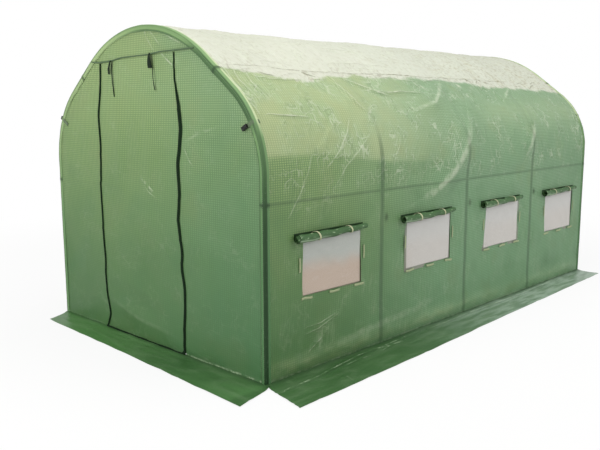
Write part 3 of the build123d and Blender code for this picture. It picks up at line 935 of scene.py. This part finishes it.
def ribbon(name, line, across, widths, facing, thickness, finish, columns=5, crown=0.0):
    """A flat band along a line of points, with a direction across it and a width at each point."""
    line = np.asarray(line, float)
    across = np.broadcast_to(np.asarray(across, float), line.shape)
    facing = np.broadcast_to(np.asarray(facing, float), line.shape)
    widths = np.broadcast_to(np.asarray(widths, float), len(line))
    off = np.linspace(-0.5, 0.5, columns)
    spots = line[:, None, :] + across[:, None, :] * (widths[:, None] * off)[..., None]
    spots = spots + facing[:, None, :] * (crown * (1 - (2 * off) ** 2))[None, :, None]
    length = np.r_[0, np.cumsum(np.linalg.norm(np.diff(line, axis=0), axis=1))]
    cut = np.stack(np.broadcast_arrays(length[:, None], widths[:, None] * off), axis=-1)
    return sheet_piece(name, spots, cut, facing[:, None, :], thickness, finish)


bead_shape = bead_tree()
piping_green = tape_finish("piping", (0.035, 0.075, 0.03), (0.09, 0.16, 0.07), 0.004, 0.45)
zip_black = tape_finish("zip_tape", (0.002, 0.009, 0.002), (0.008, 0.026, 0.008), 0.003, 0.6, 0.12)
tie_black = tape_finish("tie_webbing", (0.003, 0.008, 0.003), (0.012, 0.025, 0.012), 0.004, 0.6, 0.15)
thread_green = tape_finish("thread", (0.12, 0.2, 0.1), (0.2, 0.3, 0.16), 0.002, 0.5)

seam_x = np.linspace(-0.565, 0.52, 90)
seam_path = np.stack([seam_x, np.full(90, -half_length - 0.004), seam_line(seam_x)], axis=1)
seam_path[:, 1] -= 0.002 * np.abs(crumple(seam_x, seam_x * 0, 0.06, 5))
piping_sizes = {"Radius": 0.0042, "Repeats": 1, "Pitch": 0.0, "Finish": piping_green}
piping = grown("piping_front", path_object("seam", [seam_path]), tube_shape, piping_sizes)
place(piping, "edge_tape", "front_seam")
back_x = np.linspace(-0.55, 0.55, 40)
back_path = np.stack([back_x, np.full(40, half_length + 0.004), np.full(40, back_seam_z)], axis=1)
piping = grown("piping_back", path_object("seam", [back_path]), tube_shape, piping_sizes)
place(piping, "edge_tape", "back_seam")

stitch_sizes = {"Spacing": 0.011, "Size": (0.007, 0.0012, 0.0012), "Finish": thread_green}
for stitch_name, stitch_end in (("stitches_front", -1), ("stitches_back", 1)):
    stitch_lines = []
    for stitch_inset, stitch_out in ((0.031, 0.0036), (0.009, 0.0056)):
        line = arch_line(stitch_inset)[1:-1]
        line[:, 1] = stitch_end * (half_length + stitch_out)
        stitch_lines.append(line)
    stitches = grown(stitch_name, path_object("stitch_line", stitch_lines), bead_shape, stitch_sizes)
    place(stitches, "edge_tape")

teeth_sizes = {"Spacing": 0.0042, "Size": (0.0022, 0.0022, 0.0075), "Finish": zip_black}
zip_widths = {
    "left": np.array([(0.0, 0.020), (0.9, 0.021), (1.5, 0.022), (1.62, 0.024), (1.80, 0.018)]),
    "right": np.array([
        (0.0, 0.025), (0.9, 0.027), (1.35, 0.034), (1.5, 0.034), (1.62, 0.018), (1.84, 0.011),
    ]),
}
zip_proud = 0.003
for side, foot, top in (("left", 0.004, 1.792), ("right", 0.045, 1.826)):
    z = np.linspace(foot, top, 150)
    x = zip_line(z, side)
    line = np.stack([x, -half_length - zip_proud - end_relief(x, z, front_seed, front_folds)[0], z], axis=1)
    slope = np.gradient(x, z)
    across = np.stack([np.ones_like(z), 0 * z, -slope], axis=1) / np.sqrt(1 + slope ** 2)[:, None]
    widths = np.interp(z, *zip_widths[side].T)
    tape = ribbon("zip_" + side, line, across, widths, (0, -1, 0), 0.0012, zip_black, 7, 0.002)
    place(tape, "zip_tape", "door_" + side + "_zip")
    teeth_path = path_object("teeth_line", [line - (0, 0.0026, 0)])
    teeth = grown("zip_teeth_" + side, teeth_path, bead_shape, teeth_sizes)
    place(teeth, "zip_tape")

hem_turn = np.linspace(-math.pi / 2, -0.12, 14)
hem_right = float(zip_line(0.05, "right"))
hem_x = np.r_[np.linspace(-0.520, hem_right - 0.05, 60), hem_right - 0.045 + 0.045 * np.cos(hem_turn)]
hem_wave = 0.003 * crumple(np.linspace(0, 0.85, 60), np.zeros(60), 0.09, 9)
hem_z = np.r_[0.009 + hem_wave, 0.055 + 0.046 * np.sin(hem_turn)]
hem_line = np.stack([hem_x, -half_length - zip_proud - 0.004 + 0 * hem_x, hem_z], axis=1)
hem_way = np.gradient(hem_line, axis=0)
hem_across = np.stack([-hem_way[:, 2], 0 * hem_x, hem_way[:, 0]], axis=1)
hem_across /= np.linalg.norm(hem_across, axis=1)[:, None]
hem = ribbon("door_foot_hem", hem_line, hem_across, 0.026, (0, -1, 0), 0.0014, zip_black, 7, 0.002)
place(hem, "zip_tape", "door_hem")

tie_front = -half_length - 0.010
tie_runs = [
    ([(-0.333, 1.806), (-0.337, 1.785), (-0.349, 1.755), (-0.356, 1.722)],
     (0.010, 0.016, 0.021, 0.017), 0.0),
    ([(-0.329, 1.806), (-0.325, 1.785), (-0.338, 1.760), (-0.350, 1.735)],
     (0.010, 0.012, 0.012, 0.010), 0.004),
    ([(-0.327, 1.79), (-0.318, 1.735), (-0.313, 1.66), (-0.307, 1.578)],
     (0.007, 0.007, 0.009, 0.011), -0.003),
    ([(0.099, 1.832), (0.100, 1.805), (0.101, 1.775), (0.103, 1.744)],
     (0.012, 0.024, 0.036, 0.046), 0.0),
    ([(0.104, 1.832), (0.110, 1.800), (0.111, 1.770), (0.112, 1.752)],
     (0.010, 0.016, 0.020, 0.022), 0.004),
    ([(0.122, 1.75), (0.130, 1.715), (0.134, 1.665), (0.141, 1.612)],
     (0.006, 0.006, 0.006, 0.008), -0.003),
]
ties = []
for points, widths, out in tie_runs:
    points = np.array(points)
    share = np.linspace(0, 1, len(points))
    fine = np.linspace(0, 1, 16)
    x = np.interp(fine, share, points[:, 0])
    z = np.interp(fine, share, points[:, 1])
    y = tie_front - out - 0.006 * np.sin(np.pi * fine)
    line = np.stack([x, y, z], axis=1)
    widths = np.interp(fine, share, widths)
    ties.append(ribbon("tie", line, (1, 0, 0), widths, (0, -1, 0), 0.0016, tie_black, 4))
place(joined("ties", ties), "zip_tape", "door_ties")

# Window screens. A pane of fine white net behind each opening, sewn to the inside of the wall all round
# and left a little slack.
def net_finish():
    material, spot, cut = start_finish("window_net")
    along, height = spot.axes("YZ")
    cells = thread_grid(cut, (0.0022, 0.0022), 0.34)
    cloud = spot.grain(4.0, 3.0)
    smear = cut.grain(9.0, 4.0, (1.0, 2.5, 1.0))
    # Painted view through the net: a pinkish ground colour on the lower part, strongest in the nearest
    # windows.
    warm = (height + (cloud - 0.5) * 0.10).between(0.68, 0.56) * (1 - along.between(-1.1, -0.6) * 0.8)
    plain = along.between(-1.1, -0.6).tint((0.40, 0.42, 0.385), (0.53, 0.52, 0.50))
    colour = warm.tint(plain, (0.46, 0.345, 0.265))
    colour = (smear.between(0.55, 0.75) * 0.25).tint(colour, (0.56, 0.54, 0.51))
    colour = (cells * 0.18).tint(colour, (0.70, 0.70, 0.68))
    rims = []
    for axis, middle, reach in (("X", 0.0, window_reach), ("Y", window_middle, window_rise)):
        off = cut.axes(axis)[0] - middle
        rims.append(abs(off).between(reach - 0.005, reach - 0.001))
    colour = (cut.maths("MAXIMUM", *rims) * 0.7).tint(colour, (0.09, 0.12, 0.06))
    values = {
        "Base Color": colour,
        "Roughness": 0.55 + 0.15 * cells,
        "Alpha": 0.86 + 0.14 * cells,
        "Normal": bumped(cells * 0.3 + smear, 0.003, 0.5),
    }
    return plain_finish(material, spot, values)


net_white = net_finish()
net_reach, net_low, net_high = window_reach + 0.02, window_low - 0.02, window_high + 0.02
for side, word in sides:
    for number, window_y in enumerate(window_ys):
        seed = 300 + number * 10 + (side < 0) * 100
        along, up = np.meshgrid(np.linspace(-net_reach, net_reach, 36), np.linspace(net_low, net_high, 25))
        slack = bell(along, 0.22) * bell(up - window_low - 0.15, 0.15)
        x = half_width - 0.0058 - 0.006 * slack - 0.003 * slack * crumple(along + up, up * 0.5, 0.09, seed)
        spots = np.stack([side * x, window_y + along, up], axis=-1)
        cut = np.stack([along, up], axis=-1)
        screen = sheet_piece(f"screen_{word}_{number + 1}", spots, cut, (side, 0, 0), 0.0006, net_white)
        place(screen, "window_mesh", word + "_window_screens")

# Rolled window flaps. Each flap is a piece of smooth green sheet sewn on above its window and rolled up from
# the bottom, out and over, so that the ends show the winding.
def roll_finish():
    material, spot, cut = start_finish("rolled_sheet")
    cloud = spot.grain(14.0, 4.0)
    scuff = cut.grain(22.0, 5.0, (1.0, 2.5, 1.0))
    under_shade, rim = attribute(spot, "under_shade"), attribute(spot, "rim")
    colour = cloud.tint((0.022, 0.070, 0.018), (0.055, 0.13, 0.042))
    colour = (scuff.between(0.58, 0.68) * (1 - under_shade) * 0.6).tint(colour, (0.34, 0.46, 0.28))
    # Painted shade under the roll, and a painted highlight line along its lower front edge.
    colour = (under_shade * 0.85).tint(colour, (0.006, 0.022, 0.005))
    colour = (rim * 0.75).tint(colour, (0.36, 0.46, 0.32))
    values = {
        "Base Color": colour,
        "Roughness": 0.36 + 0.2 * scuff,
        "Normal": bumped(scuff + cloud * 0.5, 0.003, 0.6),
        "Specular IOR Level": 0.3,
    }
    return plain_finish(material, spot, values)


roll_green = roll_finish()
roll_radius = 0.028
roll_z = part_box("right_window_rolls")[0].z + roll_radius
roll_reach = 0.299
roll_ys = window_ys - 0.03
roll_turns = 4.0
roll_taper = 0.74
roll_taper_swing = 0.14
roll_tail = 0.030
tail_steps = 7
roll_steps = 88


def roll_section():
    """The winding from the sewn edge down the wall, out under the roll and round to its core."""
    tail = np.linspace(roll_z + roll_tail, roll_z, tail_steps + 1)[:-1]
    turn = np.linspace(math.pi, math.pi * (1 + 2 * roll_turns), roll_steps)
    radius = roll_radius - 0.0042 * (turn - math.pi) / (2 * math.pi)
    x = np.r_[np.zeros(tail_steps), roll_radius + radius * np.cos(turn)]
    z = np.r_[tail, roll_z + radius * np.sin(turn)]
    return x, z


for side, word in sides:
    for number, roll_y in enumerate(roll_ys):
        seed = 500 + number * 10 + (side < 0) * 100
        x, z = roll_section()
        along = np.linspace(-roll_reach, roll_reach, 56)[:, None]
        around = np.arange(len(x))[None, :] / len(x)
        wound = step_up(around, 0.065, 0.16)
        lump = crumple(along + 0 * around, around * 0.6 + 0 * along, 0.07, seed)
        bulge = crumple(along + 0 * around, 0 * (along + around), 0.16, seed + 1)
        taper = roll_taper - roll_taper_swing * along / roll_reach
        swell = taper * (1 + wound * (0.07 * lump + 0.06 * bulge))
        droop = -0.005 * wound * np.sin(np.pi * (along / roll_reach * 0.5 + 0.5) * 3) ** 2
        slip = 0.010 * wound * crumple(0 * along + around * 3, 0 * along, 0.4, seed + 2)
        spots = np.stack([
            side * (half_width + 0.002 + (roll_radius + (x - roll_radius)[None, :]) * swell),
            roll_y + along + slip,
            roll_z + 0.002 + 0.024 * (1 - taper) + (z - roll_z)[None, :] * swell + droop,
        ], axis=-1)
        length = np.r_[0, np.cumsum(np.hypot(np.diff(x), np.diff(z)))]
        cut = np.stack(np.broadcast_arrays(along, length[None, :]), axis=-1)
        way = np.stack([np.gradient(x), np.gradient(z)], axis=1)
        facing = np.stack([-side * way[:, 1], 0 * x, way[:, 0]], axis=1)[None, :, :]
        turned = (np.arange(len(x)) - tail_steps) / (roll_steps - 1) * roll_turns
        # Marks for the painted shade underneath and the painted highlight line near the lower front.
        near = 1 - step_up(along, -0.5 * roll_reach, 0.0)
        under_shade = (1 - step_up(turned, 0.30, 0.37)) + 0 * along
        marks = {"under_shade": under_shade, "rim": bell(turned - 0.41, 0.035) * near}
        roll = sheet_piece(
            f"roll_{word}_{number + 1}", spots, cut, facing * np.ones((56, 1, 1)), 0.0014, roll_green, marks)
        place(roll, "rolled_sheet", word + "_window_rolls")

# Roll straps and window tabs. Narrow cream webbing: two straps buckle slantwise round each roll, and short
# tabs of hook tape are sewn to the wall beside and below each window to hold its flap when it is down.
cream = tape_finish("cream_webbing", (0.34, 0.37, 0.20), (0.60, 0.61, 0.40), 0.003, 0.6)
dull_cream = tape_finish("tab_tape", (0.22, 0.29, 0.14), (0.39, 0.43, 0.25), 0.003, 0.6)
strap_turns = np.radians(np.linspace(-135, 150, 26))
for side, word in sides:
    straps, tabs = [], []
    tab_x = np.full(10, side * (half_width + 0.004))
    for number, window_y in enumerate(window_ys):
        for share in (0.28, 0.76):
            taper = roll_taper - roll_taper_swing * (2 * share - 1)
            radius = roll_radius * taper * 1.1 + 0.003
            x = half_width + 0.002 + roll_radius * taper + radius * np.cos(strap_turns)
            z = roll_z + 0.024 * (1 - taper) + radius * np.sin(strap_turns)
            y = roll_ys[number] - roll_reach + share * 2 * roll_reach + 0.018 - 0.042 * np.linspace(0, 1, 26)
            line = np.stack([side * np.maximum(x, half_width + 0.003), y, z], axis=1)
            facing = np.stack([side * np.cos(strap_turns), 0 * x, np.sin(strap_turns)], axis=1)
            straps.append(ribbon("strap", line, (0, 1, 0), 0.012, facing, 0.0014, cream, 4))
        seed = 700 + number
        for share in (-0.44, 0.02, 0.46):
            y = window_y + share * 2 * window_reach + np.linspace(-0.044, 0.044, 10)
            line = np.stack([tab_x, y, np.full(10, window_low - 0.013)], axis=1)
            line[:, 2] += 0.003 * crumple(y, 0 * y, 0.05, seed)
            tabs.append(ribbon("tab", line, (0, 0, 1), 0.015, (side, 0, 0), 0.0016, dull_cream, 4, 0.002))
        for end in (-1, 1):
            z = window_high - 0.44 * (window_high - window_low) + np.linspace(-0.042, 0.042, 10)
            y = window_y + end * (window_reach + 0.024) + 0.002 * crumple(z, 0 * z, 0.04, seed + 50)
            line = np.stack([tab_x, y, z], axis=1)
            tabs.append(ribbon("tab", line, (0, 1, 0), 0.013, (side, 0, 0), 0.0016, dull_cream, 4, 0.002))
    place(joined("roll_straps_" + word, straps), "cream_webbing", word + "_roll_straps")
    place(joined("tabs_" + word, tabs), "cream_webbing", word + "_window_tabs")

# Edge clips. A grey-green strap bent round the corner grips the cover on each end hoop at the shoulder, and a
# moulded black buckle on it draws it tight: on the end wall at the right, on the side at the left.
def clip_finish(name, on_side):
    """Strap cloth, and black plastic from the strap's face outwards, on the side or on the end wall."""
    material, spot, _ = start_finish(name)
    across, along, height = spot.axes("XYZ")
    if on_side:
        spoke = {"X": abs(across) - (half_width - shoulder_radius), "Z": height - leg_top}
        spoke = spot.node("ShaderNodeCombineXYZ", None, spoke)
        reach = spoke.node("ShaderNodeVectorMath", {"operation": "LENGTH"}, {0: spoke}, "Value")
        proud = reach - shoulder_radius
    else:
        proud = abs(along) - half_length - 0.002
    buckle = proud.between(0.0028, 0.0036)
    grain = spot.grain(400.0, 2.0)
    wear = spot.grain(60.0, 4.0)
    cloth = wear.tint((0.06, 0.10, 0.05), (0.15, 0.20, 0.12))
    plastic = wear.between(0.45, 0.8).tint((0.008, 0.009, 0.008), (0.035, 0.038, 0.035))
    values = {
        "Base Color": buckle.tint(cloth, plastic),
        "Roughness": 0.38 + 0.2 * wear,
        "Normal": bumped(grain, 0.0003),
        "Specular IOR Level": 0.2,
    }
    return plain_finish(material, spot, values)


clip_finishes = {
    "right_edge_clips": clip_finish("clip_end_buckle", False),
    "left_edge_clips": clip_finish("clip_side_buckle", True),
}
for name, finish in clip_finishes.items():
    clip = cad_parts[name]
    clip.data.materials.clear()
    clip.data.materials.append(finish)

# Ground flaps. Smooth, thicker green sheet sewn to the foot of the cover on all four sides and laid out on
# the ground, where soil or stones would hold it. The corners are left open, and fold creases stay in it.
def flap_finish():
    material, spot, cut = start_finish("ground_flap")
    across, along = spot.axes("XY")
    cloud = spot.grain(3.0, 4.0)
    streak = cut.grain(5.0, 4.0, (1.0, 5.0, 1.0))
    fine = spot.grain(55.0, 3.0)
    crease, shade = attribute(spot, "crease"), attribute(spot, "shade")
    edge, tuck = fold_marks(spot, cut)
    blend = (cloud * 0.7 + streak * 0.3).between(0.25, 0.75)
    colour = blend.tint((0.036, 0.106, 0.029), (0.062, 0.158, 0.048))
    colour = (streak.between(0.60, 0.78) * 0.18).tint(colour, (0.16, 0.25, 0.14))
    beside = abs(across).between(half_width - 0.02, half_width + 0.03)
    colour = (beside * 0.5).tint(colour, (0.022, 0.068, 0.018))
    colour = ((1 - beside) * across.between(0.5, -0.6) * 0.6).tint(colour, (0.070, 0.205, 0.048))
    # Dust and a painted grazing sheen: the far part of the side flaps painted pale.
    dust_and_sheen = along.between(-1.1, 0.9) * beside * (0.45 + 0.5 * streak.between(0.38, 0.62))
    colour = dust_and_sheen.tint(colour, (0.30, 0.39, 0.31))
    colour = (crease * 0.5).tint(colour, (0.36, 0.46, 0.30))
    colour = (shade * 0.75).tint(colour, (0.012, 0.035, 0.010))
    # Painted shade in the fold tucks, and a painted highlight along the fold edges broken up by noise.
    colour = (tuck * 0.7).tint(colour, (0.015, 0.04, 0.012))
    highlight_breaks = cut.grain(11.0, 4.0).between(0.42, 0.56)
    colour = (edge * highlight_breaks * 0.8).tint(colour, (0.45, 0.56, 0.38))
    values = {
        "Base Color": colour,
        "Roughness": 0.30 + 0.14 * cloud,
        "Normal": bumped(fine * 0.3 + streak * 0.6 + edge, 0.004, 0.4),
    }
    return plain_finish(material, spot, values)


flap_green = flap_finish()
flap_thickness = 0.0014


def ground_flap(name, start, run, out, widths, seed, node, folds=(), skews=(0.0, 0.0)):
    """A flap laid from a line on the ground: start and run along the wall, and out away from it."""
    start, run, out = (np.array(v, float) for v in (start, run, out))
    length = np.linalg.norm(run)
    way = run / length
    rows, columns = 18, max(8, int(length / 0.028))
    share = np.linspace(0, 1, columns)[None, :]
    width = np.interp(share, np.linspace(0, 1, len(widths)), widths)
    off = np.linspace(0, 1, rows)[:, None] * width
    along = share * length + (skews[0] * (1 - share) ** 4 + skews[1] * share ** 4) * off / width
    ripple = creased(along * 0.5, off * 2, 0.10, seed)
    lift = flap_thickness + 0.0015 + 0.004 * np.abs(crumple(along, off, 0.22, seed + 1)) + 0.003 * ripple
    lift += 0.010 * bell(off, 0.03)
    heights, marks = folded(along, off, folds)
    lift += np.maximum(heights, 0)
    marks["crease"] = 0.18 * ripple
    marks["shade"] = 0.85 * bell(off, 0.026)
    spots = start + way * along[..., None] + out * off[..., None]
    spots[..., 2] = lift
    cut = np.stack([along, off], axis=-1)
    piece = sheet_piece(name, spots, cut, (0, 0, 1), flap_thickness, flap_green, marks)
    place(piece, "ground_flap_sheet", node)


foot_folds = [
    ([(0.02, 0.12), (0.22, 0.12), (0.44, 0.09), (0.73, 0.05), (1.0, 0.05), (1.4, 0.03)], 0.010, 0.016, 0.6),
    ([(0.55, 0.10), (0.66, 0.09), (0.78, 0.10)], 0.005, 0.012, 0.5),
    ([(0.92, 0.09), (1.02, 0.07), (1.15, 0.075)], 0.005, 0.012, 0.5),
    ([(0.40, 0.14), (0.42, 0.22), (0.40, 0.28)], 0.004, 0.012, 0.25),
    ([(1.5, 0.05), (2.0, 0.04), (2.6, 0.05), (3.4, 0.03)], 0.008, 0.016, 0.45),
]
base = half_width - 0.002
flap_setback = 0.14
short_reach = half_length - flap_setback
back_reach = half_width - flap_setback
ground_flap("flap_right", (base, -half_length, 0), (0, 2 * half_length, 0), (1, 0, 0),
            (0.335, 0.31, 0.27, 0.235, 0.20), 901, "right_ground_flap", foot_folds, (-0.08, 0.0))
ground_flap("flap_left", (-base, -short_reach, 0), (0, 2 * short_reach, 0), (-1, 0, 0),
            (0.25, 0.25), 911, "left_ground_flap", foot_folds)
ground_flap("flap_front", (-half_width, -half_length + 0.002, 0), (2 * half_width + 0.03, 0, 0), (0, -1, 0),
            (0.19, 0.225, 0.28), 921, "front_ground_flap", (), (0.09, 0.07))
ground_flap("flap_back", (-back_reach, half_length - 0.002, 0), (2 * back_reach, 0, 0), (0, 1, 0),
            (0.25, 0.25), 931, "back_ground_flap")

# Studio. A plain pale floor and a soft white room, with the camera where the photographer stood.
floor_mesh = bpy.data.meshes.new("studio_floor")
floor_mesh.from_pydata([(-40, -40, 0), (40, -40, 0), (40, 40, 0), (-40, 40, 0)], [], [(0, 1, 2, 3)])
studio_floor = linked("studio_floor", floor_mesh)
studio_floor.location.z = -0.001
floor_white, spot, _ = start_finish("floor_white")
seen = spot.node("ShaderNodeLightPath", None, None, "Is Camera Ray")
mirrored = spot.node("ShaderNodeLightPath", None, None, "Is Glossy Ray")
passed = spot.node("ShaderNodeLightPath", None, None, "Is Transmission Ray")
direct = seen.maths("MAXIMUM", seen, mirrored.maths("MAXIMUM", mirrored, passed))
matt = spot.node("ShaderNodeBsdfDiffuse", None, {"Color": (0.72, 0.72, 0.71)})
lit = spot.node("ShaderNodeEmission", None, {"Color": (1.0, 1.0, 1.0), "Strength": 1.0})
away = spot.node("ShaderNodeVectorMath", {"operation": "LENGTH"}, {0: spot}, "Value")
plain = away.between(2.6, 6.0) * 0.14 + 0.86
end_finish(spot.node("ShaderNodeMixShader", None, {0: direct * plain, 1: matt, 2: lit}))
floor_mesh.materials.append(floor_white)

world = bpy.data.worlds.new("studio")
bpy.context.scene.world = world
world.use_nodes = True
world.node_tree.nodes.clear()
sky_start = Strand(world.node_tree.nodes.new("ShaderNodeTexCoord").outputs["Generated"])
sky_height = sky_start.node("ShaderNodeSeparateXYZ", None, {"Vector": sky_start}, "Z")
sky_tone = sky_height.between(-0.1, 0.9).tint((0.75, 0.75, 0.75), (1.0, 1.0, 1.0))
sky_seen = sky_start.node("ShaderNodeLightPath", None, None, "Is Camera Ray")
sky_light = sky_start.node("ShaderNodeBackground", None, {"Color": sky_tone, "Strength": 0.85})
sky_back = sky_start.node("ShaderNodeBackground", None, {"Color": (1.0, 1.0, 1.0), "Strength": 1.0})
sky = sky_start.node("ShaderNodeMixShader", None, {0: sky_seen, 1: sky_light, 2: sky_back})
sky.node("ShaderNodeOutputWorld", None, {"Surface": sky})

for lamp_name, lamp_place, lamp_aim, lamp_size, lamp_power in (
    ("overhead_softbox", (1.5, -0.5, 6.5), (0, 0, 1.0), 5.0, 170),
    ("side_softbox", (6.5, 1.5, 4.0), (0.5, 0, 1.0), 3.0, 110),
    ("front_softbox", (0.5, -7.5, 3.5), (0, -2.0, 1.0), 3.5, 205),
):
    lamp = bpy.data.lights.new(lamp_name, "AREA")
    lamp.size = lamp_size
    lamp.energy = lamp_power
    softbox = linked(lamp_name, lamp)
    softbox.location = lamp_place
    aim = Vector(lamp_aim) - softbox.location
    softbox.rotation_euler = aim.to_track_quat("-Z", "Y").to_euler()

camera_data = bpy.data.cameras.new("camera")
camera_data.sensor_width = 36.0
camera_data.lens = 43.83
camera = linked("camera", camera_data)
camera.location = (3.852, -4.602, 1.5055)
camera.rotation_euler = (math.radians(90 - 9.1), math.radians(0.12), math.radians(43.98))
bpy.context.scene.camera = camera
bpy.context.scene.view_settings.view_transform = "Standard"
